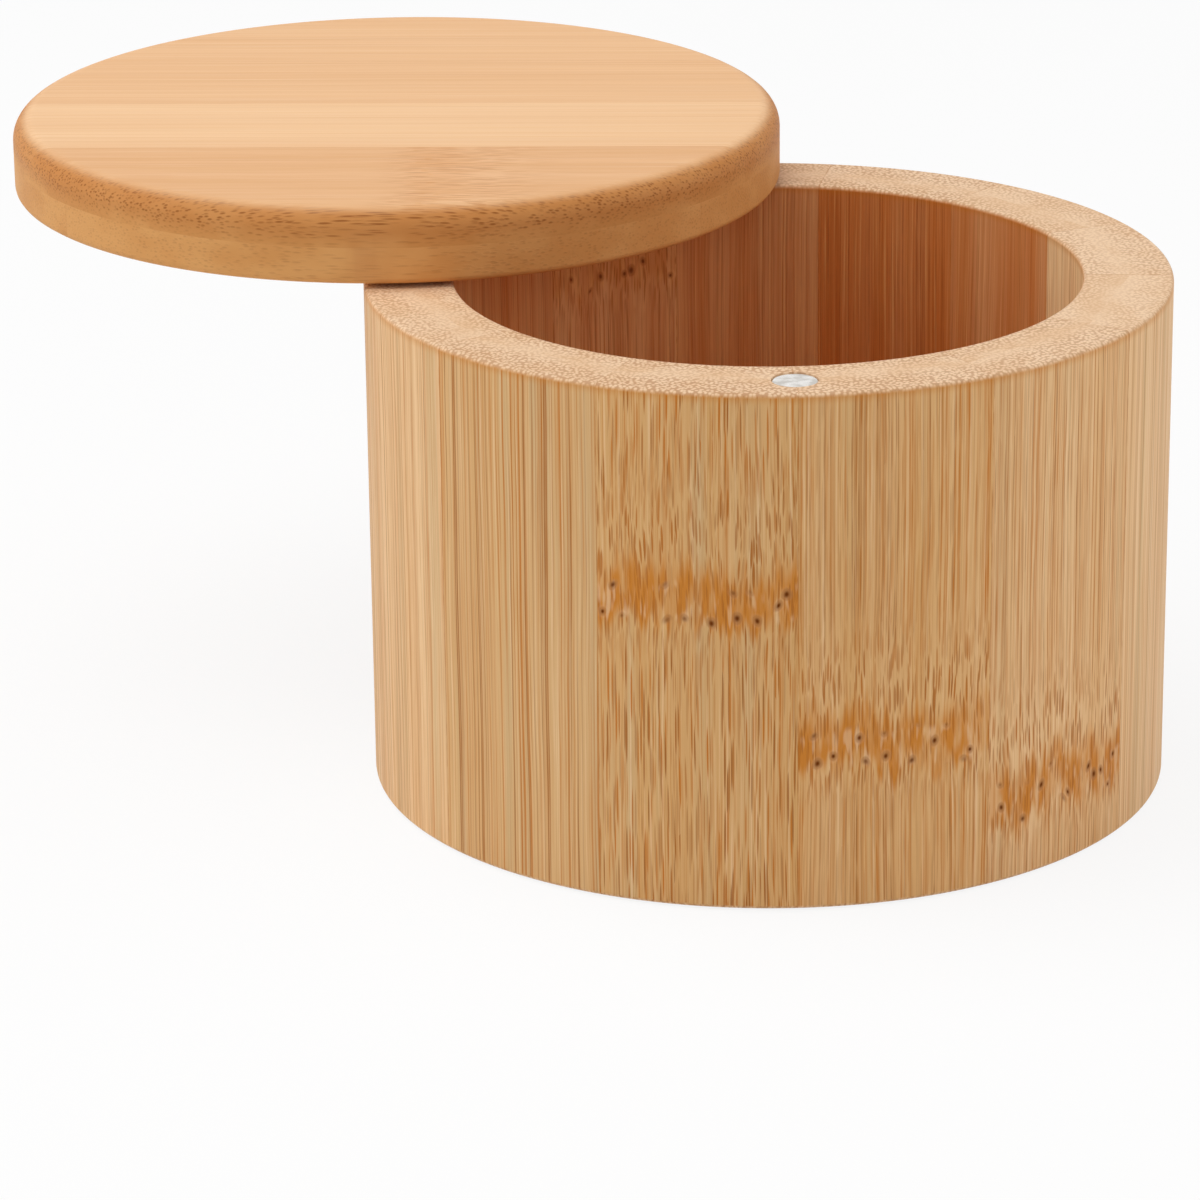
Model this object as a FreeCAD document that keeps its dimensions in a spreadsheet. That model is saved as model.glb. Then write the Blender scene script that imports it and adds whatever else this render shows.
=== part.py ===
import FreeCAD, Part
import os
import Sketcher

# Round box of bamboo staves, with a lid that swivels on a pin in the wall and is held shut by two magnets.
# The box stands on Z = 0 with its axis on Z. The pivot is at the back (+Y), the rim magnet in front (-Y).

os.makedirs("parts", exist_ok=True)
doc = FreeCAD.newDocument("salt_box")

# Driving dimensions, in millimetres and degrees

dimensions = [
    ("box_diameter", 90, "outside of the stave ring and of the lid"),
    ("box_height", 58, "foot to rim"),
    ("wall_thickness", 10, "both plies of the ring together"),
    ("outer_ply", 6, "outer ply, measured at the middle of a stave"),
    ("rim_ease", 0.5, "eased edges of the rim"),
    ("foot_ease", 0.5, "eased outer edge of the foot"),
    ("floor_thickness", 8, "floor, flush with the foot"),
    ("rebate_depth", 2.5, "how far the floor is let into the wall"),
    ("floor_glue", 0.1, "glue line round the floor"),
    ("lid_thickness", 8.5, "both plies of the lid together"),
    ("lid_under_ply", 4.25, "lower ply of the lid"),
    ("lid_round", 2.5, "round on the top edge of the lid"),
    ("lid_ease", 0.8, "eased lower edge of the lid"),
    ("lid_edge_strip", 25.4, "width of the two outer strips on the lid's top"),
    ("lid_joint_place", 1.1, "from the middle of the lid to the middle joint of its top"),
    ("lid_grain_turn", 4, "turn of the lid's strips from the line through pivot and magnet"),
    ("lid_open_angle", 90, "how far the lid stands open"),
    ("pivot_inset", 4.2, "outer face of the wall to the pivot"),
    ("pin_diameter", 4, "pivot pin"),
    ("pin_in_box", 16, "length of the pin below the rim"),
    ("pin_cover", 2.5, "wood left over the pin in the lid"),
    ("pin_end_room", 1, "room below the pin in its bore"),
    ("pin_running_gap", 0.05, "radial clearance of the pin in the wall"),
    ("pin_press_gap", 0.01, "radial clearance of the pin in the lid"),
    ("pin_chamfer", 0.4, "both ends of the pin"),
    ("washer_width", 1.2, "from the washer's hole to its outer edge"),
    ("washer_thickness", 0.5, "gap between rim and lid"),
    ("washer_gap", 0.2, "radial clearance of the washer round the pin"),
    ("magnet_inset", 5, "outer face of the wall to the middle of the magnets"),
    ("magnet_diameter", 5, "both magnets"),
    ("magnet_thickness", 3, "both magnets"),
    ("magnet_glue", 0.05, "radial clearance of a magnet in its hole"),
    ("magnet_sink", 0.1, "how far a magnet lies below its surface"),
    ("magnet_chamfer", 0.25, "edges of a magnet"),
]
staves = 13
floor_strips = 5
under_strips = 5

sheet = doc.addObject("Spreadsheet::Sheet", "Dimensions")
for row, (alias, number, note) in enumerate(dimensions, start=1):
    sheet.set(f"A{row}", alias)
    sheet.set(f"B{row}", str(number))
    sheet.set(f"C{row}", note)
    sheet.setAlias(f"B{row}", alias)
doc.recompute()


def size(alias):
    return float(sheet.get(alias))


def bind(obj, path, formula):
    obj.setExpression(path, formula)


# Formulas that several pieces share

box_radius = "Dimensions.box_diameter / 2"
inner_radius = "(Dimensions.box_diameter / 2 - Dimensions.wall_thickness)"
rebate_radius = "(Dimensions.box_diameter / 2 - Dimensions.wall_thickness + Dimensions.rebate_depth)"
floor_radius = rebate_radius[:-1] + " - Dimensions.floor_glue)"
pivot_place = "(Dimensions.box_diameter / 2 - Dimensions.pivot_inset)"
magnet_place = "(Dimensions.box_diameter / 2 - Dimensions.magnet_inset)"
lid_foot = "(Dimensions.box_height + Dimensions.washer_thickness)"
lid_top = "(Dimensions.box_height + Dimensions.washer_thickness + Dimensions.lid_thickness)"
ply_line = "(Dimensions.box_height + Dimensions.washer_thickness + Dimensions.lid_under_ply)"
pin_foot = "(Dimensions.box_height - Dimensions.pin_in_box)"
pin_head = lid_top[:-1] + " - Dimensions.pin_cover)"
open_turn = "(Dimensions.lid_open_angle * 1 deg)"
grain_turn = "(Dimensions.lid_grain_turn * 1 deg)"

radius_now = size("box_diameter") / 2
inner_now = radius_now - size("wall_thickness")
rebate_now = inner_now + size("rebate_depth")
floor_now = rebate_now - size("floor_glue")
lid_foot_now = size("box_height") + size("washer_thickness")
lid_top_now = lid_foot_now + size("lid_thickness")


def origin_plane(body, role):
    return [plane for plane in body.Origin.OriginFeatures if plane.Role == role][0]


def new_sketch(body, name, role):
    sketch = body.newObject("Sketcher::SketchObject", name)
    sketch.AttachmentSupport = [(origin_plane(body, role), "")]
    sketch.MapMode = "FlatFace"
    return sketch


def profile(body, name, corners):
    """A closed outline in the XZ plane; each corner is a radius and a height, with their formulas."""
    sketch = new_sketch(body, name, "XZ_Plane")
    points = [FreeCAD.Vector(corner[0], corner[1], 0) for corner in corners]
    count = len(points)
    for i in range(count):
        sketch.addGeometry(Part.LineSegment(points[i], points[(i + 1) % count]), False)
    for i in range(count):
        sketch.addConstraint(Sketcher.Constraint("Coincident", i, 2, (i + 1) % count, 1))
    for i, (across, height, across_formula, height_formula) in enumerate(corners):
        for kind, number, formula, axis in (
            ("DistanceX", across, across_formula, -2),
            ("DistanceY", height, height_formula, -1),
        ):
            if formula is None:
                sketch.addConstraint(Sketcher.Constraint("PointOnObject", i, 1, axis))
            else:
                at = sketch.addConstraint(Sketcher.Constraint(kind, -1, 1, i, 1, number))
                bind(sketch, f"Constraints[{at}]", formula)
    return sketch


def revolve(body, name, sketch):
    turned = body.newObject("PartDesign::Revolution", name)
    turned.Profile = sketch
    turned.ReferenceAxis = (sketch, ["V_Axis"])
    turned.Angle = 360
    doc.recompute()
    return turned


def circles(body, name, height, *rings):
    """Circles on one level plane; each has a radius and a place along Y, both with their formulas."""
    sketch = new_sketch(body, name, "XY_Plane")
    if height:
        bind(sketch, "AttachmentOffset.Base.z", height)
    for i, (radius, radius_formula, place, place_formula) in enumerate(rings):
        sketch.addGeometry(Part.Circle(FreeCAD.Vector(0, place, 0), FreeCAD.Vector(0, 0, 1), radius), False)
        at = sketch.addConstraint(Sketcher.Constraint("Radius", i, radius))
        bind(sketch, f"Constraints[{at}]", radius_formula)
        if place_formula is None:
            sketch.addConstraint(Sketcher.Constraint("Coincident", i, 3, -1, 1))
            continue
        sketch.addConstraint(Sketcher.Constraint("PointOnObject", i, 3, -2))
        if place > 0:
            distance = Sketcher.Constraint("DistanceY", -1, 1, i, 3, place)
        else:
            distance = Sketcher.Constraint("DistanceY", i, 3, -1, 1, -place)
        at = sketch.addConstraint(distance)
        bind(sketch, f"Constraints[{at}]", place_formula)
    return sketch


def drill(body, name, sketch, depth, upwards=False):
    doc.recompute()
    before = body.Shape.Volume
    hole = body.newObject("PartDesign::Pocket", name)
    hole.Profile = sketch
    hole.Reversed = upwards
    bind(hole, "Length", depth)
    doc.recompute()
    if body.Shape.Volume > before - 1:
        raise RuntimeError(f"{name} cuts nothing")
    return hole


def round_edges(shape, radius, height):
    """Names of the circular edges of one radius at one height."""
    names = []
    for number, edge in enumerate(shape.Edges, start=1):
        curve = edge.Curve
        if curve.TypeId != "Part::GeomCircle":
            continue
        if abs(curve.Radius - radius) < 1e-4 and abs(curve.Center.z - height) < 1e-4:
            names.append(f"Edge{number}")
    return names


def dress(body, kind, name, base, places, path, formula):
    """A fillet or chamfer on the circular edges at the given radii and heights."""
    names = []
    for radius, height in places:
        found = round_edges(base.Shape, radius, height)
        if not found:
            raise RuntimeError(f"{name} finds no edge")
        names += found
    dressing = body.newObject(kind, name)
    dressing.Base = (base, names)
    bind(dressing, path, formula)
    doc.recompute()
    return dressing


def turn_with_lid(obj):
    """Swings a piece from the shut place about the pivot to where the lid stands open."""
    bind(obj, "Placement.Base.x", f"-{pivot_place} * sin({open_turn})")
    bind(obj, "Placement.Base.y", f"{pivot_place} * (1 - cos({open_turn}))")
    bind(obj, "Placement.Rotation.Angle", f"-{open_turn}")


nodes = []


def piece(obj, label):
    obj.Label = label
    nodes.append(obj)
    return obj


# Stave ring, turned as one and bored for the pin and the magnet

ring = doc.addObject("PartDesign::Body", "stave_ring")
ring_profile = profile(ring, "ring_profile", [
    (radius_now, 0, box_radius, None),
    (radius_now, size("box_height"), box_radius, "Dimensions.box_height"),
    (inner_now, size("box_height"), inner_radius, "Dimensions.box_height"),
    (inner_now, size("floor_thickness"), inner_radius, "Dimensions.floor_thickness"),
    (rebate_now, size("floor_thickness"), rebate_radius, "Dimensions.floor_thickness"),
    (rebate_now, 0, rebate_radius, None),
])
ring_turned = revolve(ring, "ring_turned", ring_profile)
rim_places = [(radius_now, size("box_height")), (inner_now, size("box_height"))]
ring_rim = dress(ring, "PartDesign::Fillet", "ring_rim", ring_turned, rim_places,
                 "Radius", "Dimensions.rim_ease")
ring_foot = dress(ring, "PartDesign::Fillet", "ring_foot", ring_rim, [(radius_now, 0)],
                  "Radius", "Dimensions.foot_ease")
bore_sketch = circles(ring, "bore_sketch", "Dimensions.box_height", (
    size("pin_diameter") / 2 + size("pin_running_gap"),
    "Dimensions.pin_diameter / 2 + Dimensions.pin_running_gap",
    radius_now - size("pivot_inset"),
    pivot_place,
))
drill(ring, "pin_bore", bore_sketch, "Dimensions.pin_in_box + Dimensions.pin_end_room")
magnet_radius = size("magnet_diameter") / 2 + size("magnet_glue")
magnet_radius_formula = "Dimensions.magnet_diameter / 2 + Dimensions.magnet_glue"
magnet_now = radius_now - size("magnet_inset")
rim_seat = circles(ring, "rim_magnet_sketch", "Dimensions.box_height",
                   (magnet_radius, magnet_radius_formula, -magnet_now, magnet_place))
drill(ring, "rim_magnet_seat", rim_seat, "Dimensions.magnet_thickness + Dimensions.magnet_sink")

# The flat glue faces between the two plies are the sides of one prism

ply_prism = doc.addObject("Part::Prism", "ply_prism")
ply_prism.Polygon = staves
bind(ply_prism, "Circumradius", f"({box_radius} - Dimensions.outer_ply) / cos({180 / staves} deg)")
bind(ply_prism, "Height", "Dimensions.box_height")
ply_prism.Placement.Rotation = FreeCAD.Rotation(FreeCAD.Vector(0, 0, 1), -90)
inner_ring = doc.addObject("Part::Common", "inner_ring")
inner_ring.Base = ring
inner_ring.Tool = ply_prism
outer_ring = doc.addObject("Part::Cut", "outer_ring")
outer_ring.Base = ring
outer_ring.Tool = ply_prism

# Staves, counted from the joint at the rim magnet, counterclockwise from above

for i in range(staves):
    wedge = doc.addObject("Part::Cylinder", f"wedge_{i + 1:02d}")
    bind(wedge, "Radius", "Dimensions.box_diameter")
    bind(wedge, "Height", "Dimensions.box_height")
    wedge.Angle = 360 / staves
    wedge.Placement.Rotation = FreeCAD.Rotation(FreeCAD.Vector(0, 0, 1), -90 + 360 / staves * i)
    for ply, source in (("outer", outer_ring), ("inner", inner_ring)):
        stave = doc.addObject("Part::Common", f"{ply}_stave_{i + 1:02d}")
        stave.Base = source
        stave.Tool = wedge
        piece(stave, f"{ply}_stave_{i + 1:02d}")
doc.recompute()


def strips(blank, label, joints, foot, rise, reach, turn):
    """Cuts a disc into strips at its joints; the first and the last strip run out to its edge."""
    made = []
    edges = [f"-{reach}"] + joints + [reach]
    for i in range(len(edges) - 1):
        cutter = doc.addObject("Part::Box", f"{label}_cutter_{i + 1}")
        bind(cutter, "Length", f"{edges[i + 1]} - ({edges[i]})")
        bind(cutter, "Width", f"2 * {reach}")
        bind(cutter, "Height", rise)
        bind(cutter, "Placement.Rotation.Angle", f"-{turn}")
        bind(cutter, "Placement.Base.x", f"({edges[i]}) * cos({turn}) - {reach} * sin({turn})")
        bind(cutter, "Placement.Base.y", f"-({edges[i]}) * sin({turn}) - {reach} * cos({turn})")
        bind(cutter, "Placement.Base.z", foot)
        strip = doc.addObject("Part::Common", f"{label}_{i + 1}")
        strip.Base = blank
        strip.Tool = cutter
        made.append(piece(strip, f"{label}_{i + 1}"))
    return made


# Floor disc of equal strips, flush with the foot

floor_blank = doc.addObject("Part::Cylinder", "floor_blank")
bind(floor_blank, "Radius", floor_radius)
bind(floor_blank, "Height", "Dimensions.floor_thickness")
floor_joints = [f"({2 * i - floor_strips} * {floor_radius} / {floor_strips})" for i in range(1, floor_strips)]
strips(floor_blank, "floor_strip", floor_joints, "0 mm", "Dimensions.floor_thickness",
       "Dimensions.box_diameter", "(90 deg)")

# Lid blank, turned in the shut place and bored from below

lid = doc.addObject("PartDesign::Body", "lid_blank")
lid_profile = profile(lid, "lid_profile", [
    (0, lid_foot_now, None, lid_foot),
    (radius_now, lid_foot_now, box_radius, lid_foot),
    (radius_now, lid_top_now, box_radius, lid_top),
    (0, lid_top_now, None, lid_top),
])
lid_turned = revolve(lid, "lid_turned", lid_profile)
lid_rounded = dress(lid, "PartDesign::Fillet", "lid_rounded", lid_turned, [(radius_now, lid_top_now)],
                    "Radius", "Dimensions.lid_round")
lid_eased = dress(lid, "PartDesign::Fillet", "lid_eased", lid_rounded, [(radius_now, lid_foot_now)],
                  "Radius", "Dimensions.lid_ease")
press_sketch = circles(lid, "press_sketch", lid_foot, (
    size("pin_diameter") / 2 + size("pin_press_gap"),
    "Dimensions.pin_diameter / 2 + Dimensions.pin_press_gap",
    radius_now - size("pivot_inset"),
    pivot_place,
))
drill(lid, "press_hole", press_sketch, "Dimensions.lid_thickness - Dimensions.pin_cover", True)
lid_seat = circles(lid, "lid_magnet_sketch", lid_foot,
                   (magnet_radius, magnet_radius_formula, -magnet_now, magnet_place))
drill(lid, "lid_magnet_seat", lid_seat, "Dimensions.magnet_thickness + Dimensions.magnet_sink", True)

# Lid strips in two plies: four on top, where the outer two set the width of the inner, and equal ones below

top_joints = [
    "(Dimensions.lid_edge_strip - Dimensions.box_diameter / 2 - Dimensions.lid_joint_place)",
    "(-Dimensions.lid_joint_place)",
    "(Dimensions.box_diameter / 2 - Dimensions.lid_edge_strip - Dimensions.lid_joint_place)",
]
under_joints = [f"({2 * i - under_strips} * {box_radius} / {under_strips})" for i in range(1, under_strips)]
lid_strips = strips(lid, "lid_top_strip", top_joints, ply_line,
                    "Dimensions.lid_thickness - Dimensions.lid_under_ply",
                    "Dimensions.box_diameter", grain_turn)
lid_strips += strips(lid, "lid_under_strip", under_joints, lid_foot, "Dimensions.lid_under_ply",
                     "Dimensions.box_diameter", grain_turn)
for strip in lid_strips:
    turn_with_lid(strip)

# Pivot pin, pressed into the lid

pin = piece(doc.addObject("PartDesign::Body", "pivot_pin"), "pivot_pin")
pin_circle = circles(pin, "pin_circle", None,
                     (size("pin_diameter") / 2, "Dimensions.pin_diameter / 2", 0, None))
pin_rod = pin.newObject("PartDesign::Pad", "pin_rod")
pin_rod.Profile = pin_circle
bind(pin_rod, "Length", f"{pin_head} - {pin_foot}")
doc.recompute()
pin_ends = [(size("pin_diameter") / 2, 0), (size("pin_diameter") / 2, pin_rod.Length.Value)]
dress(pin, "PartDesign::Chamfer", "pin_ends", pin_rod, pin_ends, "Size", "Dimensions.pin_chamfer")
bind(pin, "Placement.Base.y", pivot_place)
bind(pin, "Placement.Base.z", pin_foot)

# Washer round the pin, between rim and lid

washer = piece(doc.addObject("PartDesign::Body", "pivot_washer"), "pivot_washer")
washer_hole = size("pin_diameter") / 2 + size("washer_gap")
washer_hole_formula = "Dimensions.pin_diameter / 2 + Dimensions.washer_gap"
washer_rings = circles(
    washer, "washer_rings", None,
    (washer_hole + size("washer_width"), f"{washer_hole_formula} + Dimensions.washer_width", 0, None),
    (washer_hole, washer_hole_formula, 0, None),
)
washer_plate = washer.newObject("PartDesign::Pad", "washer_plate")
washer_plate.Profile = washer_rings
bind(washer_plate, "Length", "Dimensions.washer_thickness")
bind(washer, "Placement.Base.y", pivot_place)
bind(washer, "Placement.Base.z", "Dimensions.box_height")

# The two magnets face each other when the lid is shut


def magnet(label):
    body = piece(doc.addObject("PartDesign::Body", label), label)
    radius = size("magnet_diameter") / 2
    outline = circles(body, f"{label}_circle", None, (radius, "Dimensions.magnet_diameter / 2", 0, None))
    disc = body.newObject("PartDesign::Pad", f"{label}_disc")
    disc.Profile = outline
    bind(disc, "Length", "Dimensions.magnet_thickness")
    doc.recompute()
    ends = [(radius, 0), (radius, size("magnet_thickness"))]
    dress(body, "PartDesign::Chamfer", f"{label}_edges", disc, ends, "Size", "Dimensions.magnet_chamfer")
    return body


rim_magnet = magnet("rim_magnet")
bind(rim_magnet, "Placement.Base.y", f"-{magnet_place}")
bind(rim_magnet, "Placement.Base.z",
     "Dimensions.box_height - Dimensions.magnet_sink - Dimensions.magnet_thickness")
lid_magnet = magnet("lid_magnet")
bind(lid_magnet, "Placement.Base.x", f"-({pivot_place} + {magnet_place}) * sin({open_turn})")
bind(lid_magnet, "Placement.Base.y", f"{pivot_place} - ({pivot_place} + {magnet_place}) * cos({open_turn})")
bind(lid_magnet, "Placement.Base.z", f"{lid_foot} + Dimensions.magnet_sink")

doc.recompute()

# Every object is sound before anything is written

for obj in doc.Objects:
    if "Invalid" in obj.State or "Error" in obj.State:
        raise RuntimeError(f"{obj.Label} failed: {obj.State}")
for obj in nodes:
    if obj.Shape.isNull() or not obj.Shape.isValid() or len(obj.Shape.Solids) != 1:
        raise RuntimeError(f"{obj.Label} is not one sound solid")
stave_volume = sum(obj.Shape.Volume for obj in nodes if "stave" in obj.Label)
lid_volume = sum(obj.Shape.Volume for obj in nodes if "lid_top" in obj.Label or "lid_under" in obj.Label)
for made, whole in ((stave_volume, ring.Shape.Volume), (lid_volume, lid.Shape.Volume)):
    if abs(made - whole) > 1e-4 * whole:
        raise RuntimeError("the strips do not fill their blank")

for obj in nodes:
    obj.Shape.exportStep(f"parts/{obj.Label}.step")
    print(f"{obj.Label}: {obj.Shape.Volume:.1f} mm3, foot at {obj.Shape.BoundBox.ZMin:.2f} mm")
print(len(nodes), "pieces")
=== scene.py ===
import math
import bpy
from mathutils import Matrix, Vector


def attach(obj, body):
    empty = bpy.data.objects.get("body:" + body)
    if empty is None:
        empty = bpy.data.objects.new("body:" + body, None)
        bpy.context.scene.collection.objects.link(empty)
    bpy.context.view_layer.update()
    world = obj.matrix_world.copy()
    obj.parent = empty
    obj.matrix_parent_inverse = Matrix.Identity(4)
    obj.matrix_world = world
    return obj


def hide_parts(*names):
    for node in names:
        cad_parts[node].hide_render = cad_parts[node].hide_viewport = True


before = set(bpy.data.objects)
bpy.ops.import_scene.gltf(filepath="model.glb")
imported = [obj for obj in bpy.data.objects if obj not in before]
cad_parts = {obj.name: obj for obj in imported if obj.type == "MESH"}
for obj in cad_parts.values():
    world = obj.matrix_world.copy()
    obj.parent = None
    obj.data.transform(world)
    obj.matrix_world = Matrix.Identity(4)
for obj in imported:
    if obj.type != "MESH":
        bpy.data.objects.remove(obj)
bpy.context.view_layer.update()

# round bamboo salt box, lid swung open on its pin
mm = 0.001
sliver = 0.003 * mm  # edges shorter than this are merged away after a cut
noKnot = -900  # far below the strip, so it shows no node
noTip = 900  # far past the end of the strip, so its end keeps its colour
lidMiddle = Vector((-40.8, 40.8, 0)) * mm  # axis of the lid where it stands open
pivotPlace = Vector((0, 40.8, 0)) * mm
rimMagnetPlace = Vector((0, -40, 0)) * mm
lidMagnetPlace = Vector((-80.8, 40.8, 0)) * mm


# selecting and editing

def soloSelect(obj):
    bpy.ops.object.select_all(action="DESELECT")
    obj.select_set(True)
    bpy.context.view_layer.objects.active = obj


def startEdit(obj, kind):
    soloSelect(obj)
    bpy.ops.object.mode_set(mode="EDIT")
    bpy.ops.mesh.select_mode(type=kind)
    bpy.ops.mesh.select_all(action="DESELECT")
    bpy.ops.object.mode_set(mode="OBJECT")


def openPicked():
    bpy.ops.object.mode_set(mode="EDIT")


def closeEdit():
    bpy.ops.object.mode_set(mode="OBJECT")


def pickVerts(obj, wanted):
    startEdit(obj, "VERT")
    for vert in obj.data.vertices:
        vert.select = wanted(vert.co)
    openPicked()


def pickEdges(obj, wanted):
    startEdit(obj, "EDGE")
    for edge in obj.data.edges:
        edge.select = all(wanted(obj.data.vertices[i].co) for i in edge.vertices)
    openPicked()


def pickAll(obj):
    startEdit(obj, "VERT")
    openPicked()
    bpy.ops.mesh.select_all(action="SELECT")


def settle(obj):
    soloSelect(obj)
    bpy.ops.object.transform_apply(location=True, rotation=True, scale=True)


def cutAway(obj, point, direction):  # takes off what lies past the plane and closes the cut
    pickAll(obj)
    bpy.ops.mesh.bisect(plane_co=point, plane_no=direction, use_fill=True, clear_outer=True)
    bpy.ops.mesh.select_all(action="SELECT")
    bpy.ops.mesh.normals_make_consistent(inside=False)
    closeEdit()


def twin(obj, name):
    other = obj.copy()
    other.data = obj.data.copy()
    other.name = name
    other.data.name = name
    bpy.context.collection.objects.link(other)
    return other


def drillPeg(name, place, radius, foot, head):
    bpy.ops.object.select_all(action="DESELECT")
    middle = (place.x, place.y, (foot + head) / 2)
    bpy.ops.mesh.primitive_cylinder_add(vertices=96, radius=radius, depth=head - foot, location=middle)
    peg = bpy.context.object
    peg.name = name
    settle(peg)
    return peg


def drill(obj, peg):
    soloSelect(obj)
    hole = obj.modifiers.new("hole", "BOOLEAN")
    hole.operation = "DIFFERENCE"
    hole.solver = "EXACT"
    hole.object = peg
    bpy.ops.object.modifier_apply(modifier="hole")
    pickAll(obj)
    bpy.ops.mesh.remove_doubles(threshold=sliver)
    bpy.ops.mesh.dissolve_degenerate(threshold=sliver)
    closeEdit()


def polish(obj, angle=40):  # smooth faces whose flats stay flat
    soloSelect(obj)
    bpy.ops.object.shade_smooth_by_angle(angle=math.radians(angle))
    weight = obj.modifiers.new("flats", "WEIGHTED_NORMAL")
    weight.keep_sharp = True
    bpy.ops.object.modifier_apply(modifier="flats")


def seat(obj, node, body, finish):
    obj.data.materials.clear()
    obj.data.materials.append(finish)
    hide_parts(node)
    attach(obj, body)


def markGrain(obj, marks):  # where each point lies in its own strip of bamboo, in millimetres
    mesh = obj.data
    across, depth, along = marks["across"], marks["depth"], marks["along"]
    for name in ("grain", "strip", "joint"):
        mesh.attributes.new(name, "FLOAT_VECTOR", "POINT")
    for name in ("figure", "contrast", "green", "sawn"):
        mesh.attributes.new(name, "FLOAT", "POINT")
    grain, strip, joint = mesh.attributes["grain"], mesh.attributes["strip"], mesh.attributes["joint"]
    figure, contrast = mesh.attributes["figure"], mesh.attributes["contrast"]
    green, sawn = mesh.attributes["green"], mesh.attributes["sawn"]
    for i, vert in enumerate(mesh.vertices):
        place = (vert.co - marks["middle"]) / mm
        grain.data[i].vector = (place.dot(across), place.dot(depth), place.dot(along))
        strip.data[i].vector = (marks["seed"], marks["tone"], marks["knot"])
        joint.data[i].vector = marks["joint"]
        figure.data[i].value = marks["figure"]
        contrast.data[i].value = marks["contrast"]
        green.data[i].value = marks["green"]
        sawn.data[i].value = marks["sawn"](vert.co)


def rise(value, low, high):
    share = min(max((value - low) / (high - low), 0), 1)
    return share * share * (3 - 2 * share)


# shader helpers

def tint(red, green, blue):  # a colour as seen on screen, made linear
    parts = []
    for part in (red, green, blue):
        part = part / 255
        parts.append(part / 12.92 if part <= 0.04045 else ((part + 0.055) / 1.055) ** 2.4)
    return (parts[0], parts[1], parts[2], 1)


def plug(tree, value, socket):
    if isinstance(value, bpy.types.NodeSocket):
        tree.links.new(value, socket)
    else:
        socket.default_value = value


def sums(tree, operation, first, second=None, third=None):
    box = tree.nodes.new("ShaderNodeMath")
    box.operation = operation
    for value, socket in zip((first, second, third), box.inputs):
        if value is not None:
            plug(tree, value, socket)
    return box.outputs[0]


def stretch(tree, vector, factors):
    box = tree.nodes.new("ShaderNodeVectorMath")
    box.operation = "MULTIPLY"
    plug(tree, vector, box.inputs[0])
    box.inputs[1].default_value = factors
    return box.outputs[0]


def shift(tree, vector, way):
    box = tree.nodes.new("ShaderNodeVectorMath")
    plug(tree, vector, box.inputs[0])
    plug(tree, way, box.inputs[1])
    return box.outputs[0]


def ramp(tree, value, low, high, start=0.0, end=1.0):
    box = tree.nodes.new("ShaderNodeMapRange")
    box.interpolation_type = "SMOOTHSTEP"
    plug(tree, value, box.inputs["Value"])
    plug(tree, low, box.inputs["From Min"])
    plug(tree, high, box.inputs["From Max"])
    plug(tree, start, box.inputs["To Min"])
    plug(tree, end, box.inputs["To Max"])
    return box.outputs["Result"]


def blend(tree, factor, first, second):
    box = tree.nodes.new("ShaderNodeMix")
    box.data_type = "RGBA"
    plug(tree, factor, box.inputs[0])
    plug(tree, first, box.inputs[6])
    plug(tree, second, box.inputs[7])
    return box.outputs[2]


def cloud(tree, vector, factors, detail=2.0):
    box = tree.nodes.new("ShaderNodeTexNoise")
    plug(tree, stretch(tree, vector, factors), box.inputs["Vector"])
    box.inputs["Scale"].default_value = 1
    box.inputs["Detail"].default_value = detail
    return box.outputs[0]


def cells(tree, vector, factors, flat=False):
    box = tree.nodes.new("ShaderNodeTexVoronoi")
    if flat:
        box.voronoi_dimensions = "2D"
    plug(tree, stretch(tree, vector, factors), box.inputs["Vector"])
    box.inputs["Scale"].default_value = 1
    return box.outputs["Distance"], box.outputs["Color"]


def apart(tree, vector):
    box = tree.nodes.new("ShaderNodeSeparateXYZ")
    plug(tree, vector, box.inputs[0])
    return box.outputs[0], box.outputs[1], box.outputs[2]


def together(tree, first, second, third):
    box = tree.nodes.new("ShaderNodeCombineXYZ")
    for value, socket in zip((first, second, third), box.inputs):
        plug(tree, value, socket)
    return box.outputs[0]


def between(tree, factor, first, second):
    box = tree.nodes.new("ShaderNodeMix")
    plug(tree, factor, box.inputs[0])
    plug(tree, first, box.inputs[2])
    plug(tree, second, box.inputs[3])
    return box.outputs[0]


def seenRays(tree):  # 1 for what is seen straight, mirrored or through glass
    rays = tree.nodes.new("ShaderNodeLightPath")
    seen = sums(tree, "MAXIMUM", rays.outputs["Is Camera Ray"], rays.outputs["Is Glossy Ray"])
    return sums(tree, "MAXIMUM", seen, rays.outputs["Is Transmission Ray"])


def newFinish(name):
    finish = bpy.data.materials.new(name)
    finish.use_nodes = True
    tree = finish.node_tree
    tree.nodes.clear()
    out = tree.nodes.new("ShaderNodeOutputMaterial")
    skin = tree.nodes.new("ShaderNodeBsdfPrincipled")
    tree.links.new(skin.outputs[0], out.inputs["Surface"])
    return finish, tree, skin


def readMark(tree, name):
    box = tree.nodes.new("ShaderNodeAttribute")
    box.attribute_type = "GEOMETRY"
    box.attribute_name = name
    return box


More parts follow.
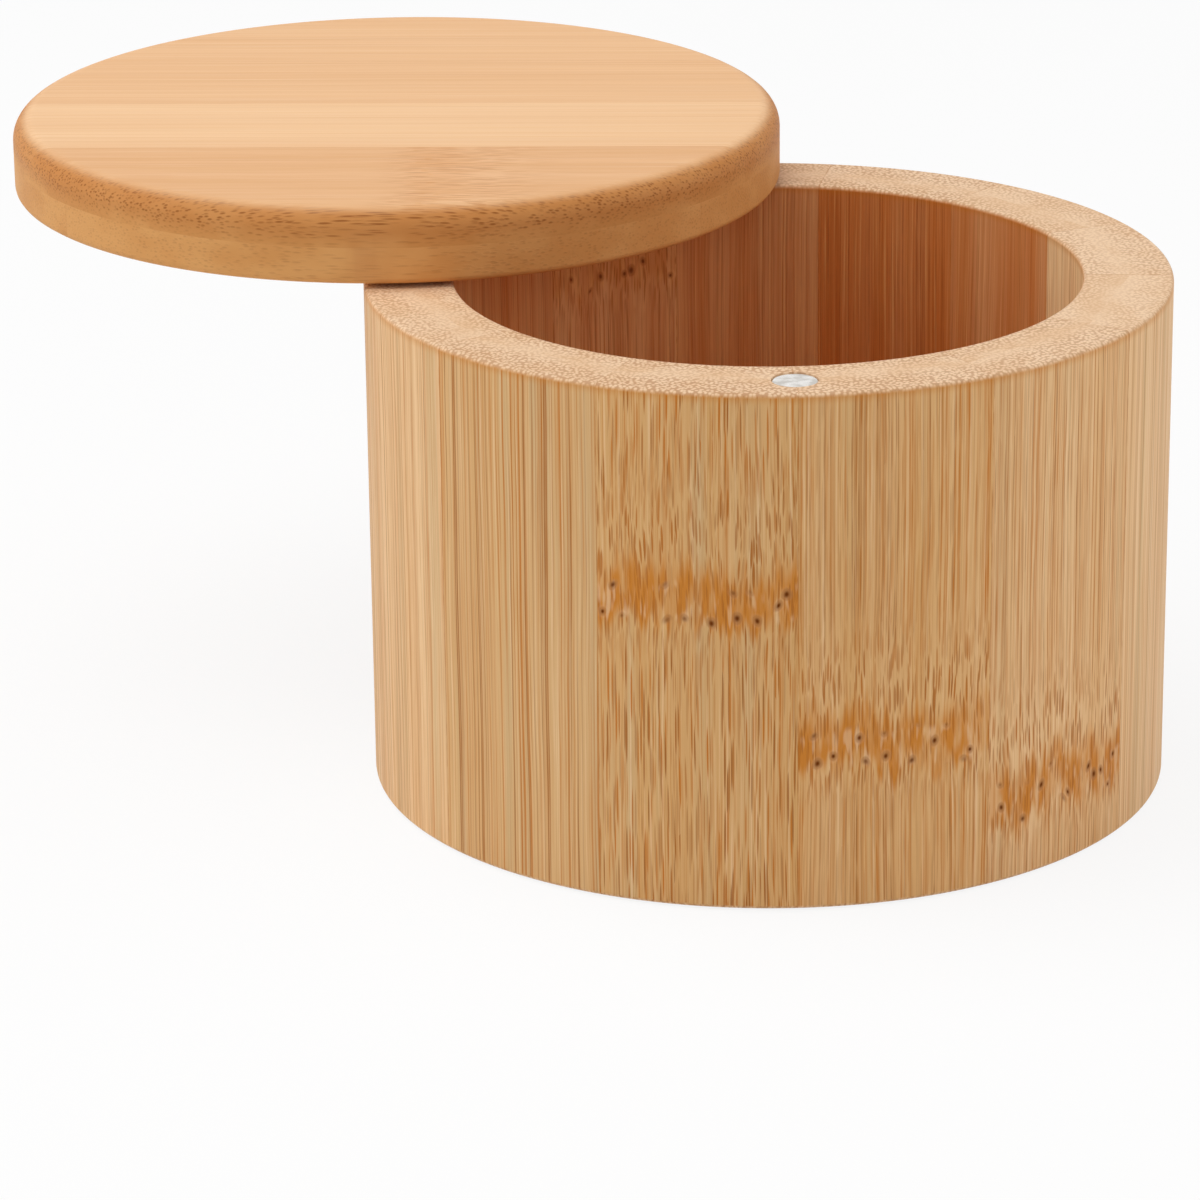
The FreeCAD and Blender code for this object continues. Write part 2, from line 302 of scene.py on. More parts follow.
def bambooFinish(name, look):
    finish, tree, skin = newFinish(name)
    grain = readMark(tree, "grain").outputs["Vector"]
    across, depth, along = apart(tree, grain)
    seed, tone, knot = apart(tree, readMark(tree, "strip").outputs["Vector"])
    jointBase, jointSlope, jointReach = apart(tree, readMark(tree, "joint").outputs["Vector"])
    figure = readMark(tree, "figure").outputs["Fac"]
    contrast = readMark(tree, "contrast").outputs["Fac"]
    green = readMark(tree, "green").outputs["Fac"]
    sawn = readMark(tree, "sawn").outputs["Fac"]
    start = stretch(tree, together(tree, seed, seed, seed), (17.3, 9.1, 61.7))
    place = shift(tree, grain, start)

    # way from the node of the cane, up and down
    wave = cloud(tree, place, (0.2, 0.1, 0.0), 1.0)
    fromKnot = sums(tree, "MULTIPLY_ADD", wave, 5.0, sums(tree, "SUBTRACT", along, knot))
    fromKnot = sums(tree, "SUBTRACT", fromKnot, 2.5)
    near = ramp(tree, fromKnot, 5.0, 18.0, 1.0, 0.0)
    near = sums(tree, "MULTIPLY", near, ramp(tree, fromKnot, -8.0, -2.0))
    fringe = cloud(tree, place, (1.5, 0.7, 0.015), 2.0)
    fringeKnot = sums(tree, "MULTIPLY_ADD", fringe, 8.0, sums(tree, "SUBTRACT", fromKnot, 4.0))
    bandFoot = ramp(tree, fringeKnot, -4.0, -1.5)
    band = sums(tree, "MULTIPLY", bandFoot, ramp(tree, fringeKnot, 1.0, 5.5, 1.0, 0.0))

    # fibres wander a little, and more beside a node
    drift = sums(tree, "SUBTRACT", cloud(tree, place, (0.11, 0.11, 0.03), 1.0), 0.5)
    swirl = sums(tree, "SUBTRACT", cloud(tree, place, (0.4, 0.4, 0.07), 1.0), 0.5)
    swirl = sums(tree, "MULTIPLY", sums(tree, "MULTIPLY", swirl, near), 0.9)
    drift = sums(tree, "MULTIPLY_ADD", drift, 0.8, swirl)
    bent = shift(tree, place, together(tree, drift, 0.0, 0.0))
    longCells, longTint = cells(tree, bent, (3.9, 3.9, 0.006))
    dashCells, dashTint = cells(tree, bent, (4.1, 4.1, 0.14))
    shortCells, shortTint = cells(tree, bent, (3.9, 3.9, 0.28))
    longFibre = ramp(tree, longCells, 0.3, 0.64, 1.0, 0.0)
    dashFibre = ramp(tree, dashCells, 0.34, 0.54, 1.0, 0.0)
    shortFibre = ramp(tree, shortCells, 0.35, 0.54, 1.0, 0.0)
    fibre = between(tree, near, between(tree, figure, longFibre, dashFibre), shortFibre)
    fibreTint = blend(tree, near, blend(tree, figure, longTint, dashTint), shortTint)
    warmth, strength = apart(tree, fibreTint)[:2]
    hair = cloud(tree, bent, (6.0, 6.0, 0.035), 3.0)
    broad = cloud(tree, place, (0.3, 0.3, 0.009), 2.0)
    hue = cloud(tree, place, (0.42, 0.42, 0.012), 2.0)

    # planed faces
    body = sums(tree, "MULTIPLY_ADD", broad, 0.7, sums(tree, "SUBTRACT", tone, 0.35))
    colour = blend(tree, body, look["pale"], look["deep"])
    oliveShare = ramp(tree, hue, 0.5, 0.7, 0.0, look["oliveAmount"])
    oliveShare = sums(tree, "MULTIPLY_ADD", green, 0.6, oliveShare)
    colour = blend(tree, oliveShare, colour, look["olive"])
    colour = blend(tree, ramp(tree, hair, 0.46, 0.28, 0.0, look["gleamAmount"]), colour, look["gleam"])
    colour = blend(tree, ramp(tree, hair, 0.5, 0.74, 0.0, look["hairAmount"]), colour, look["fibre"])
    patches = cloud(tree, place, (0.75, 0.4, 0.16), 2.0)
    bandShare = sums(tree, "MULTIPLY", band, ramp(tree, patches, 0.34, 0.58, 0.4, 1.0))
    colour = blend(tree, sums(tree, "MULTIPLY", bandShare, look["knotAmount"]), colour, look["knot"])
    fibreColour = blend(tree, ramp(tree, warmth, 0.25, 0.75), look["fibre"], look["brown"])
    fibreColour = blend(tree, sums(tree, "MULTIPLY", near, 0.6), fibreColour, look["dash"])
    fibreShare = sums(tree, "MULTIPLY", fibre, ramp(tree, strength, 0.0, 0.8, 0.3, 1.0))
    fibreAmount = sums(tree, "MULTIPLY", contrast, look["fibreAmount"])
    fibreAmount = between(tree, near, fibreAmount, look["dashAmount"])
    fibreAmount = sums(tree, "MULTIPLY", fibreAmount, ramp(tree, band, 0.0, 1.0, 1.0, 0.85))
    colour = blend(tree, sums(tree, "MULTIPLY", fibreShare, fibreAmount), colour, fibreColour)

    # root pores in a row along the node, each in a brown ring with a pale rim
    poreSpot = together(tree, sums(tree, "MULTIPLY_ADD", seed, 7.7, across), fromKnot, 0.0)
    poreCells, poreTint = cells(tree, poreSpot, (0.38, 0.3, 1.0), True)
    fromRow = sums(tree, "ABSOLUTE", sums(tree, "ADD", fromKnot, 0.6))
    row = ramp(tree, fromRow, 1.6, 2.6, 1.0, 0.0)
    halo = sums(tree, "MULTIPLY", ramp(tree, poreCells, 0.1, 0.3, 0.2, 0.0), row)
    flame = cloud(tree, place, (1.7, 0.5, 0.25), 1.0)
    halo = sums(tree, "MULTIPLY_ADD", ramp(tree, flame, 0.54, 0.7, 0.0, 0.4), row, halo)
    poreWidth = sums(tree, "MULTIPLY_ADD", apart(tree, poreTint)[0], 0.11, 0.08)
    pore = sums(tree, "MULTIPLY", ramp(tree, poreCells, 0.02, poreWidth, 1.0, 0.0), row)
    poreRing = ramp(tree, poreCells, poreWidth, sums(tree, "ADD", poreWidth, 0.1), 0.6, 0.0)
    poreRing = sums(tree, "MULTIPLY", poreRing, row)
    colour = blend(tree, sums(tree, "MULTIPLY", halo, look["poreAmount"]), colour, look["gleam"])
    colour = blend(tree, sums(tree, "MULTIPLY", poreRing, look["poreAmount"]), colour, look["brown"])
    colour = blend(tree, sums(tree, "MULTIPLY", pore, look["poreAmount"]), colour, look["pore"])

    # sawn faces show the fibres as specks, closest together towards the bark; on the stave ends the specks
    # are pale, a painted glint on the fibre ends, while on the lid they are dark fibre specks
    speckCells, speckTint = cells(tree, place, look["speckSize"], look["speckFlat"])
    speckDepth = ramp(tree, apart(tree, speckTint)[0], 0.1, 0.8, look["speckFaint"], 1.0)
    crowd = ramp(tree, depth, look["thin"], look["dense"], look["sparse"], 1.0)
    gaps = ramp(tree, speckCells, 0.28, 0.58)
    gaps = sums(tree, "MULTIPLY", gaps, sums(tree, "MULTIPLY", crowd, contrast))
    blot = cloud(tree, place, (0.16, 0.2, 0.1), 2.0)
    sawnBody = sums(tree, "MULTIPLY_ADD", tone, 0.5, ramp(tree, blot, 0.35, 0.65, -0.25, 0.75))
    sawnColour = blend(tree, sawnBody, look["sawnPale"], look["sawnDeep"])
    sawnColour = blend(tree, sums(tree, "MULTIPLY", crowd, look["barkAmount"]), sawnColour, look["bark"])
    sawnColour = blend(tree, sums(tree, "MULTIPLY", gaps, look["gapAmount"]), sawnColour, look["gap"])
    # on the staves this pale speck colour is a painted glint on the fibre ends; on the lid the specks are
    # dark fibre ends
    speckAndPaintedGlint = sums(tree, "MULTIPLY", ramp(tree, speckCells, 0.16, look["speckReach"], 1.0, 0.0), crowd)
    speckAndPaintedGlint = sums(tree, "MULTIPLY", speckAndPaintedGlint, speckDepth)
    sawnColour = blend(tree, sums(tree, "MULTIPLY", speckAndPaintedGlint, look["speckAndGlintAmount"]), sawnColour, look["speckAndPaintedGlint"])
    tip = ramp(tree, along, look["tipStart"], sums(tree, "ADD", look["tipStart"], 1.2))
    colour = blend(tree, sums(tree, "MULTIPLY", tip, 0.45), colour, look["knot"])
    colour = blend(tree, sawn, colour, sawnColour)

    # glue line at the joint
    edge = sums(tree, "MULTIPLY_ADD", jointSlope, depth, jointBase)
    edge = sums(tree, "SUBTRACT", edge, sums(tree, "MULTIPLY", sums(tree, "ABSOLUTE", across), jointReach))
    patchy = cloud(tree, place, (0.05, 0.05, 0.35), 2.0)
    line = ramp(tree, edge, 0.02, 0.13, 1.0, 0.0)
    line = sums(tree, "MULTIPLY", line, ramp(tree, patchy, 0.42, 0.62, 0.1, look["jointAmount"]))
    colour = blend(tree, line, colour, look["dash"])
    tree.links.new(colour, skin.inputs["Base Color"])

    rough = ramp(tree, hair, 0.3, 0.7, look["rough"] - 0.06, look["rough"] + 0.08)
    tree.links.new(sums(tree, "MULTIPLY_ADD", pore, 0.35, rough), skin.inputs["Roughness"])
    dent = sums(tree, "MULTIPLY_ADD", fibre, 0.3, sums(tree, "MULTIPLY", hair, 0.4))
    dent = between(tree, sawn, dent, gaps)
    dent = sums(tree, "ADD", dent, line)
    skin.inputs["Specular IOR Level"].default_value = 0.08  # an oiled, nearly matt surface
    relief = tree.nodes.new("ShaderNodeBump")
    relief.invert = True
    relief.inputs["Strength"].default_value = 0.3
    relief.inputs["Distance"].default_value = 0.00006
    tree.links.new(dent, relief.inputs["Height"])
    tree.links.new(relief.outputs[0], skin.inputs["Normal"])
    return finish


# finishes
outerLook = {
    "pale": tint(239, 200, 152), "deep": tint(217, 166, 102),
    "olive": tint(210, 178, 131), "oliveAmount": 0.55,
    "gleam": tint(246, 213, 171), "gleamAmount": 0.5,
    "fibre": tint(194, 116, 40), "brown": tint(166, 102, 44), "fibreAmount": 0.95, "hairAmount": 0.55,
    "dash": tint(176, 104, 36), "dashAmount": 0.88,
    "knot": tint(204, 126, 38), "knotAmount": 0.9,
    "pore": tint(104, 46, 0), "poreAmount": 0.95,
    "sawnPale": tint(238, 204, 168), "sawnDeep": tint(229, 190, 150),
    "gap": tint(186, 138, 100), "gapAmount": 0.7,
    # the pale speck colour here is a painted glint on the fibre ends of the rim
    "speckAndPaintedGlint": tint(246, 216, 182), "speckAndGlintAmount": 0.5, "speckSize": (2.2, 2.2, 1.0), "speckFlat": True,
    "speckFaint": 1.0, "speckReach": 0.4, "bark": tint(192, 119, 60), "barkAmount": 0.0,
    "thin": 39.2, "dense": 41.5, "sparse": 0.45, "tipStart": 56.6, "jointAmount": 0.6, "rough": 0.5,
}
innerLook = dict(
    outerLook, pale=tint(249, 216, 164), deep=tint(206, 125, 64), olive=tint(212, 144, 80), oliveAmount=0.2,
    gleam=tint(242, 190, 124), fibre=tint(188, 106, 46), brown=tint(156, 80, 30), fibreAmount=0.75,
    hairAmount=0.5, dashAmount=0.8, knotAmount=0.4, poreAmount=0.8, thin=38.5, dense=36,
)
floorLook = dict(
    outerLook, pale=tint(226, 180, 122), deep=tint(206, 152, 92), thin=-20, dense=-10, tipStart=noTip,
)
lidLook = dict(
    outerLook, pale=tint(245, 203, 158), deep=tint(225, 171, 121), olive=tint(238, 191, 144),
    gleam=tint(247, 211, 170), gleamAmount=0.25, fibre=tint(214, 152, 96), brown=tint(208, 150, 100),
    fibreAmount=0.25, hairAmount=0.12, dash=tint(184, 118, 68), dashAmount=0.65, knotAmount=0.16,
    poreAmount=0.0, sawnPale=tint(220, 162, 99), sawnDeep=tint(209, 148, 86), gap=tint(176, 108, 48),
    gapAmount=0.1, speckAndPaintedGlint=tint(126, 62, 16), speckAndGlintAmount=0.68, speckSize=(3.3, 3.3, 0.3), speckFlat=False,
    speckFaint=0.45, speckReach=0.56, barkAmount=0.4, thin=-0.4, dense=2.4, sparse=0.12, tipStart=noTip,
    jointAmount=0.25,
)
underLook = dict(
    lidLook, pale=tint(229, 184, 130), deep=tint(213, 160, 102), fibre=tint(182, 120, 58),
    sawnPale=tint(223, 165, 102), sawnDeep=tint(215, 154, 91), gapAmount=0.12, speckAndGlintAmount=0.35,
    barkAmount=0.0, sparse=0.7,
)
outerFinish = bambooFinish("bamboo_outer", outerLook)
innerFinish = bambooFinish("bamboo_inner", innerLook)
floorFinish = bambooFinish("bamboo_floor", floorLook)
lidFinish = bambooFinish("bamboo_lid", lidLook)
underFinish = bambooFinish("bamboo_lid_under", underLook)


def metalFinish(name, look):
    finish, tree, skin = newFinish(name)
    coords = tree.nodes.new("ShaderNodeTexCoord").outputs["Object"]
    scuff = cloud(tree, coords, look["scuff"], 4.0)
    colour = blend(tree, ramp(tree, scuff, 0.35, 0.65), look["bright"], look["dull"])
    tree.links.new(colour, skin.inputs["Base Color"])
    rough = ramp(tree, scuff, 0.3, 0.7, look["rough"], look["rough"] + 0.18)
    tree.links.new(rough, skin.inputs["Roughness"])
    skin.inputs["Metallic"].default_value = look["metal"]
    return finish


nickel = metalFinish("magnet_nickel", {
    "scuff": (900, 900, 900), "bright": tint(232, 230, 226), "dull": tint(196, 192, 186),
    "rough": 0.22, "metal": 1.0,
})
steel = metalFinish("pin_steel", {
    "scuff": (300, 300, 3000), "bright": tint(206, 206, 208), "dull": tint(168, 168, 172),
    "rough": 0.3, "metal": 1.0,
})
nylon = metalFinish("washer_nylon", {
    "scuff": (700, 700, 700), "bright": tint(232, 229, 219), "dull": tint(216, 212, 200),
    "rough": 0.5, "metal": 0.0,
})
print("finishes ready")

# stave ring
ring = {
    "outer": 45 * mm, "inner": 35 * mm, "height": 58 * mm, "rebate": 37.5 * mm, "floor": 8 * mm,
    "ease": 0.5 * mm, "glueFace": 39 * mm, "staves": 13, "steps": 24,
    "magnetSeat": {"radius": 2.55 * mm, "foot": 54.9 * mm, "head": 60 * mm},
    "pinBore": {"radius": 2.05 * mm, "foot": 41 * mm, "head": 60 * mm},
    "sawnStart": 0.5 * mm, "sawnEnd": 0.05 * mm,
    "knots": [18.3, 9.8, noKnot, 41, noKnot, 25, noKnot, 47, 12, noKnot, noKnot, noKnot, 35.0],
    "tones": [0.64, 0.3, 0.04, 0.2, 0.8, 0.45, 0.35, 0.5, 0.6, 0.3, 0.15, 0.7, 0.8],
    # inner stave tones differ at random from stave to stave; the tone at index 7 is also set paler as
    # painted light, for the light that falls on the lower left of the inner wall
    "innerTones": [0.6, 0.85, 0.5, -0.1, 0.86, 0.96, 0.74, 0.6, 0.76, 0.6, 0.55, 0.7, 0.5],
    "contrasts": [0.92, 0.82, 0.45, 0.7, 0.6, 0.9, 0.7, 0.9, 0.8, 0.7, 0.7, 0.9, 1],
    "greens": [-0.5, -0.4, -0.1, 0, 0.2, -0.2, 0.3, 0, -0.3, 0.2, 0.1, 0.6, 0.2],
    "figures": [0.35, 0.3, 0, 0.6, 0.2, 0.8, 0, 0.9, 0.5, 0, 0.2, 0.1, 0.9],
    "innerKnots": [noKnot, 20] + [noKnot] * 5 + [49.5] + [noKnot] * 5, "innerFigure": 0.3,
}
step = 2 * math.pi / ring["staves"]
firstMiddle = -math.pi / 2 + step / 2
bpy.ops.object.select_all(action="DESELECT")
upper = ring["height"] - ring["floor"]
bpy.ops.mesh.primitive_plane_add(
    size=1, location=(0, -(ring["outer"] + ring["inner"]) / 2, ring["floor"] + upper / 2),
    rotation=(math.pi / 2, 0, math.pi / 2),
)
outerModel = bpy.context.object
outerModel.name = "stave_model"
outerModel.scale = (ring["outer"] - ring["inner"], upper, 1)
settle(outerModel)
pickAll(outerModel)
bpy.ops.mesh.bisect(plane_co=(0, -ring["rebate"], 0), plane_no=(0, 1, 0))
closeEdit()
pickEdges(outerModel, lambda p: abs(p.z - ring["floor"]) < 1e-6 and p.y < -ring["rebate"] + 1e-6)
bpy.ops.mesh.extrude_region_move(TRANSFORM_OT_translate={"value": (0, 0, -ring["floor"])})
closeEdit()
eased = [(-ring["outer"], ring["height"]), (-ring["inner"], ring["height"]), (-ring["outer"], 0)]
pickVerts(outerModel, lambda p: any(abs(p.y - y) < 1e-6 and abs(p.z - z) < 1e-6 for y, z in eased))
bpy.ops.mesh.bevel(offset=ring["ease"], segments=5, affect="VERTICES")
closeEdit()
pickAll(outerModel)
bpy.ops.mesh.spin(steps=ring["steps"], angle=step, center=(0, 0, 0), axis=(0, 0, -1))
bpy.ops.mesh.select_all(action="SELECT")
bpy.ops.mesh.remove_doubles(threshold=1e-7)
bpy.ops.mesh.normals_make_consistent(inside=False)
closeEdit()
outward = Vector((math.cos(firstMiddle), math.sin(firstMiddle), 0))
innerModel = twin(outerModel, "inner_model")
cutAway(outerModel, outward * ring["glueFace"], -outward)
cutAway(innerModel, outward * ring["glueFace"], outward)
magnetSeat = drillPeg("magnet_seat", rimMagnetPlace, **ring["magnetSeat"])
pinBore = drillPeg("pin_bore", pivotPlace, **ring["pinBore"])
pinSide = [ring["staves"] // 2 - 1, ring["staves"] // 2, ring["staves"] // 2 + 1]
for number in range(ring["staves"]):
    angle = firstMiddle + step * number
    outward = Vector((math.cos(angle), math.sin(angle), 0))
    for model, ply, finish in ((outerModel, "outer", outerFinish), (innerModel, "inner", innerFinish)):
        node = f"{ply}_stave_{number + 1:02d}"
        stave = twin(model, node + ".wood")
        stave.rotation_euler.z = step * number
        settle(stave)
        if number in (0, ring["staves"] - 1):
            drill(stave, magnetSeat)
        if number in pinSide:
            drill(stave, pinBore)
        polish(stave)
        marks = {
            "middle": Vector((0, 0, 0)), "across": Vector((-outward.y, outward.x, 0)), "depth": outward,
            "along": Vector((0, 0, 1)), "contrast": ring["contrasts"][number],
            "joint": (0, math.sin(step / 2), math.cos(step / 2)),
            "sawn": lambda p: rise(-min(p.z, ring["height"] - p.z), -ring["sawnStart"], -ring["sawnEnd"]),
        }
        if ply == "outer":
            marks.update(
                seed=number, tone=ring["tones"][number], knot=ring["knots"][number],
                figure=ring["figures"][number], green=ring["greens"][number],
            )
        else:
            marks.update(
                seed=number + 0.5, tone=ring["innerTones"][number], knot=ring["innerKnots"][number],
                figure=ring["innerFigure"], green=0,
            )
        markGrain(stave, marks)
        seat(stave, node, "box", finish)
for spare in (outerModel, innerModel):
    bpy.data.objects.remove(spare)
print("staves set")

# floor
floorDisc = {"radius": 37.4 * mm, "thick": 8 * mm, "strips": 5, "tones": [0.3, 0.5, 0.2, 0.45, 0.35]}
bpy.ops.object.select_all(action="DESELECT")
bpy.ops.mesh.primitive_cylinder_add(
    vertices=240, radius=floorDisc["radius"], depth=floorDisc["thick"],
    location=(0, 0, floorDisc["thick"] / 2),
)
floorModel = bpy.context.object
floorModel.name = "floor_model"
settle(floorModel)
width = 2 * floorDisc["radius"] / floorDisc["strips"]
for number in range(floorDisc["strips"]):
    node = f"floor_strip_{number + 1}"
    strip = twin(floorModel, node + ".wood")
    high = floorDisc["radius"] - width * number
    if number > 0:
        cutAway(strip, (0, high, 0), (0, 1, 0))
    if number < floorDisc["strips"] - 1:
        cutAway(strip, (0, high - width, 0), (0, -1, 0))
    polish(strip)
    markGrain(strip, {
        "middle": Vector((0, high - width / 2, 0)), "across": Vector((0, 1, 0)), "depth": Vector((0, 0, 1)),
        "along": Vector((1, 0, 0)), "seed": 30 + number, "tone": floorDisc["tones"][number], "knot": noKnot,
        "joint": (width / 2 / mm, 0, 1), "figure": 0.2, "contrast": 0.7, "green": 0, "sawn": lambda p: 0,
    })
    seat(strip, node, "box", floorFinish)
bpy.data.objects.remove(floorModel)
print("floor set")

# lid
lid = {
    "radius": 44.995 * mm, "foot": 58.5 * mm, "plyLine": 62.75 * mm, "top": 67 * mm, "round": 2.5 * mm,
    "ease": 0.8 * mm, "grainTurn": math.radians(4), "sawnStart": 43.0 * mm, "sawnEnd": 44.4 * mm,
    "pinHole": {"radius": 2.01 * mm, "foot": 50 * mm, "head": 64.5 * mm},
    "magnetHole": {"radius": 2.55 * mm, "foot": 50 * mm, "head": 61.6 * mm},
    "topJoints": [-20.7, -1.1, 18.5], "topTones": [0.48, 0.44, 0.2, 0.8],
    "topKnots": [noKnot, noKnot, noKnot, 6], "topFigures": [0, 0, 0, 0.5], "topSeed": 50,
    "underJoints": [-27, -9, 9, 27], "underTones": [0.4, 0.3, 0.5, 0.35, 0.45],
    "underKnots": [noKnot, noKnot, 20, noKnot, noKnot], "underFigures": [0.2, 0, 0.3, 0, 0.1],
    "underSeed": 70,
}
bpy.ops.object.select_all(action="DESELECT")
bpy.ops.mesh.primitive_cylinder_add(
    vertices=288, radius=lid["radius"], depth=lid["top"] - lid["foot"],
    location=(lidMiddle.x, lidMiddle.y, (lid["top"] + lid["foot"]) / 2),
)
lidModel = bpy.context.object
lidModel.name = "lid_model"
settle(lidModel)
pickEdges(lidModel, lambda p: p.z > lid["top"] - 1e-6)
bpy.ops.mesh.bevel(offset=lid["round"], segments=10, affect="EDGES")
closeEdit()
pickEdges(lidModel, lambda p: p.z < lid["foot"] + 1e-6)
bpy.ops.mesh.bevel(offset=lid["ease"], segments=4, affect="EDGES")
closeEdit()
pinHole = drillPeg("pin_hole", pivotPlace, **lid["pinHole"])
magnetHole = drillPeg("magnet_hole", lidMagnetPlace, **lid["magnetHole"])
along = Vector((math.cos(lid["grainTurn"]), -math.sin(lid["grainTurn"]), 0))
across = Vector((-math.sin(lid["grainTurn"]), -math.cos(lid["grainTurn"]), 0))
for ply, finish in (("top", lidFinish), ("under", underFinish)):
    joints = lid[ply + "Joints"]
    edges = [-45] + joints + [45]
    for number in range(len(edges) - 1):
        node = f"lid_{ply}_strip_{number + 1}"
        strip = twin(lidModel, node + ".wood")
        upward = Vector((0, 0, -1 if ply == "top" else 1))
        cutAway(strip, lidMiddle + Vector((0, 0, lid["plyLine"])), upward)
        if number > 0:
            cutAway(strip, lidMiddle + across * edges[number] * mm, -across)
        if number < len(joints):
            cutAway(strip, lidMiddle + across * edges[number + 1] * mm, across)
        for peg, place in ((pinHole, pivotPlace), (magnetHole, lidMagnetPlace)):
            offset = (place - lidMiddle).dot(across) / mm
            if edges[number] - 3 < offset < edges[number + 1] + 3:  # the hole reaches this strip
                drill(strip, peg)
        polish(strip)
        middle = (edges[number] + edges[number + 1]) / 2
        markGrain(strip, {
            "middle": lidMiddle + across * middle * mm + Vector((0, 0, lid["plyLine"])), "across": across,
            "depth": Vector((0, 0, 1)), "along": along, "seed": lid[ply + "Seed"] + number,
            "tone": lid[ply + "Tones"][number], "knot": lid[ply + "Knots"][number],
            "joint": ((edges[number + 1] - edges[number]) / 2, 0, 1), "figure": lid[ply + "Figures"][number],
            "contrast": 1, "green": 0,
            "sawn": lambda p: rise((p.xy - lidMiddle.xy).length, lid["sawnStart"], lid["sawnEnd"]),
        })
        seat(strip, node, "lid", finish)
bpy.data.objects.remove(lidModel)
print("lid set")

# pin, washer and magnets
hardware = {
    "pin": {"radius": 2 * mm, "foot": 42 * mm, "head": 64.5 * mm, "edge": 0.4 * mm},
    "washer": {"radius": 3.4 * mm, "foot": 58 * mm, "head": 58.5 * mm, "edge": 0.08 * mm},
    "washerHole": {"radius": 2.2 * mm, "foot": 57 * mm, "head": 60 * mm},
    "rimMagnet": {"radius": 2.5 * mm, "foot": 54.9 * mm, "head": 57.9 * mm, "edge": 0.25 * mm},
    "lidMagnet": {"radius": 2.5 * mm, "foot": 58.6 * mm, "head": 61.6 * mm, "edge": 0.25 * mm},
}


def rod(name, place, radius, foot, head, edge):
    obj = drillPeg(name, place, radius, foot, head)
    pickEdges(obj, lambda p: p.z < foot + 1e-7)
    bpy.ops.mesh.bevel(offset=edge, segments=3, affect="EDGES")
    closeEdit()
    pickEdges(obj, lambda p: p.z > head - 1e-7)
    bpy.ops.mesh.bevel(offset=edge, segments=3, affect="EDGES")
    closeEdit()
    return obj


pin = rod("pivot_pin.steel", pivotPlace, **hardware["pin"])
polish(pin)
seat(pin, "pivot_pin", "lid", steel)
washer = rod("pivot_washer.nylon", pivotPlace, **hardware["washer"])
drill(washer, drillPeg("washer_hole", pivotPlace, **hardware["washerHole"]))
polish(washer)
seat(washer, "pivot_washer", "box", nylon)
rimMagnet = rod("rim_magnet.nickel", rimMagnetPlace, **hardware["rimMagnet"])
polish(rimMagnet)
seat(rimMagnet, "rim_magnet", "box", nickel)
lidMagnet = rod("lid_magnet.nickel", lidMagnetPlace, **hardware["lidMagnet"])
polish(lidMagnet)
seat(lidMagnet, "lid_magnet", "lid", nickel)
for name in ("magnet_seat", "pin_bore", "pin_hole", "magnet_hole", "washer_hole"):
    bpy.data.objects.remove(bpy.data.objects[name])
print("hardware set")

# table top, a little below the foot, lit up to white where it is seen
table = {"size": 8, "drop": 0.2 * mm, "colour": (0.9, 0.9, 0.9, 1), "glow": 0.86}
bpy.ops.object.select_all(action="DESELECT")
bpy.ops.mesh.primitive_plane_add(size=table["size"], location=(0, 0, -table["drop"]))
tableTop = bpy.context.object
tableTop.name = "table_top"
settle(tableTop)
pale = bpy.data.materials.new("table_white")
pale.use_nodes = True
tree = pale.node_tree
tree.nodes.clear()
out = tree.nodes.new("ShaderNodeOutputMaterial")
matt = tree.nodes.new("ShaderNodeBsdfDiffuse")
matt.inputs["Color"].default_value = table["colour"]
glow = tree.nodes.new("ShaderNodeEmission")
either = tree.nodes.new("ShaderNodeMixShader")
tree.links.new(sums(tree, "MULTIPLY", seenRays(tree), table["glow"]), either.inputs[0])
tree.links.new(matt.outputs[0], either.inputs[1])
tree.links.new(glow.outputs[0], either.inputs[2])
tree.links.new(either.outputs[0], out.inputs["Surface"])
tableTop.data.materials.append(pale)

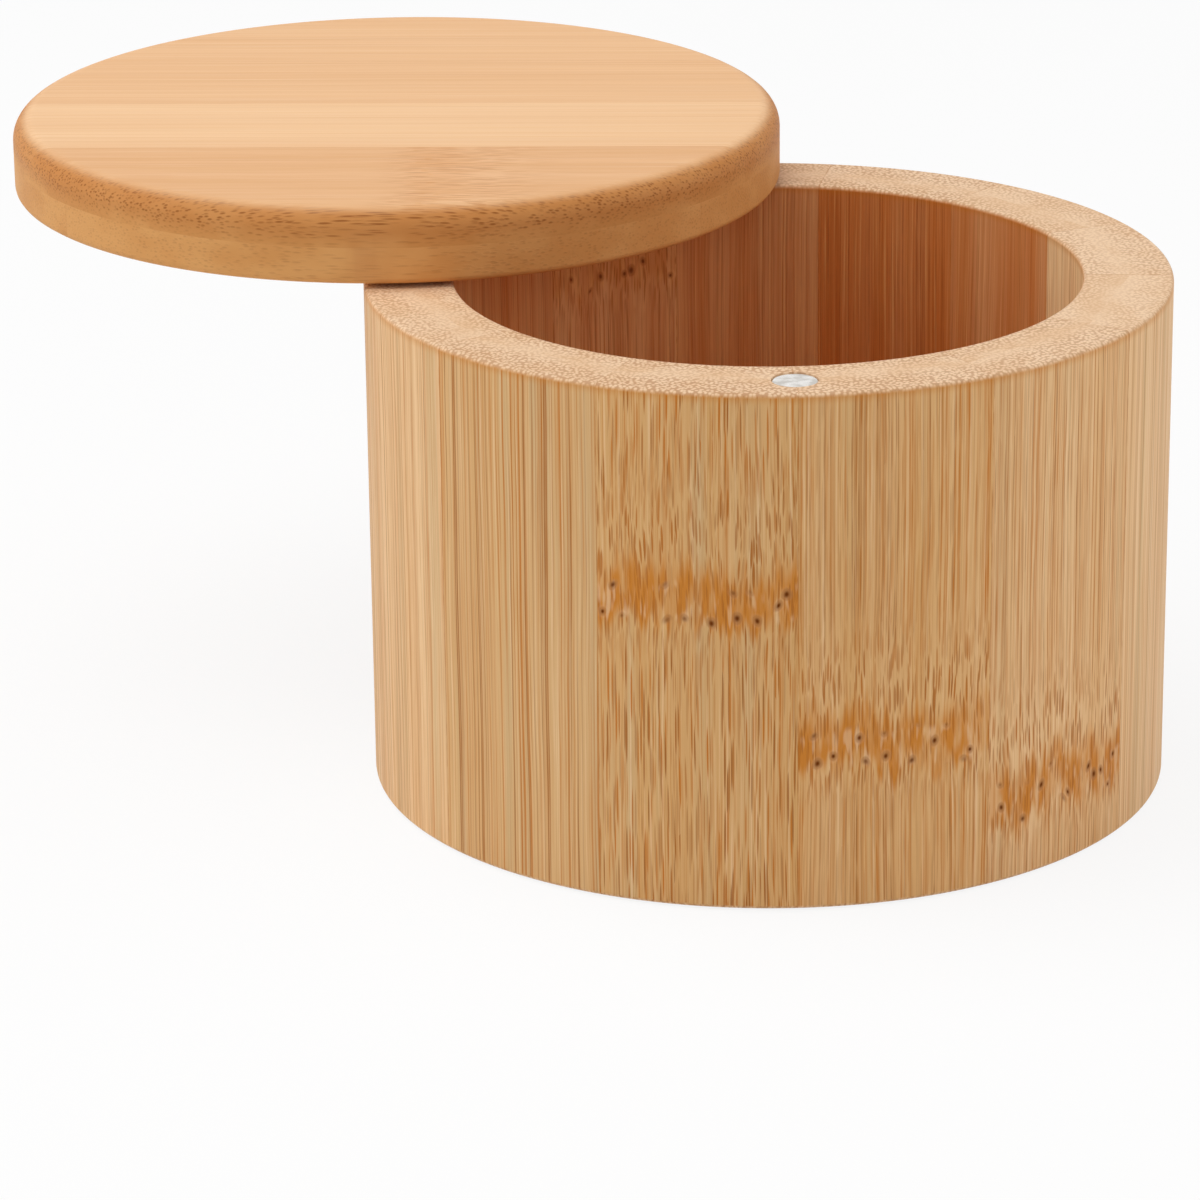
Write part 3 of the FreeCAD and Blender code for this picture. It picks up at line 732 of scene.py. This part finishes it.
# light
lamps = [
    {"name": "top_softbox", "place": (-0.4, 0.0, 1.05), "size": 1.0, "power": 7.4},
    {"name": "left_softbox", "place": (-1.0, 0.0, 0.5), "size": 0.8, "power": 2.7},
    {"name": "right_softbox", "place": (1.0, -0.1, 0.5), "size": 0.8, "power": 3.5},
    {"name": "front_softbox", "place": (0.1, -1.2, 0.6), "size": 0.8, "power": 2.0},
]
lampTarget = Vector((0, 0, 0.03))
for lamp in lamps:
    bpy.ops.object.light_add(type="AREA", location=lamp["place"])
    softbox = bpy.context.object
    softbox.name = lamp["name"]
    softbox.data.size = lamp["size"]
    softbox.data.energy = lamp["power"]
    aim = lampTarget - Vector(lamp["place"])
    softbox.rotation_euler = aim.to_track_quat("-Z", "Y").to_euler()
world = bpy.data.worlds.new("studio")
bpy.context.scene.world = world
world.use_nodes = True
tree = world.node_tree
tree.nodes.clear()
fill = tree.nodes.new("ShaderNodeBackground")
fill.inputs["Strength"].default_value = 0.3
fill.inputs["Color"].default_value = (1, 1, 1, 1)
backdrop = tree.nodes.new("ShaderNodeBackground")
backdrop.inputs["Strength"].default_value = 1
backdrop.inputs["Color"].default_value = (1, 1, 1, 1)
either = tree.nodes.new("ShaderNodeMixShader")
tree.links.new(seenRays(tree), either.inputs[0])
tree.links.new(fill.outputs[0], either.inputs[1])
tree.links.new(backdrop.outputs[0], either.inputs[2])
out = tree.nodes.new("ShaderNodeOutputWorld")
tree.links.new(either.outputs[0], out.inputs["Surface"])

# camera, placed from the edges of the box in the picture
view = {
    "place": (-41.37, -581.36, 231.78), "forward": (0.0359459, 0.9386878, -0.3428892), "roll": -0.641,
    "lens": 163.53, "sensor": 36,
}
bpy.ops.object.camera_add(location=Vector(view["place"]) * mm)
camera = bpy.context.object
camera.name = "camera"
forward = Vector(view["forward"]).normalized()
right = forward.cross(Vector((0, 0, 1))).normalized()
up = right.cross(forward)
turn = math.radians(view["roll"])
rightTurned = right * math.cos(turn) + up * math.sin(turn)
upTurned = up * math.cos(turn) - right * math.sin(turn)
frameAxes = Matrix((rightTurned, upTurned, -forward)).transposed()
camera.rotation_euler = frameAxes.to_euler()
camera.data.sensor_width = view["sensor"]
camera.data.lens = view["lens"]
camera.data.clip_start = 0.01
bpy.context.scene.camera = camera
bpy.context.scene.view_settings.view_transform = "Standard"
print("light and camera set")
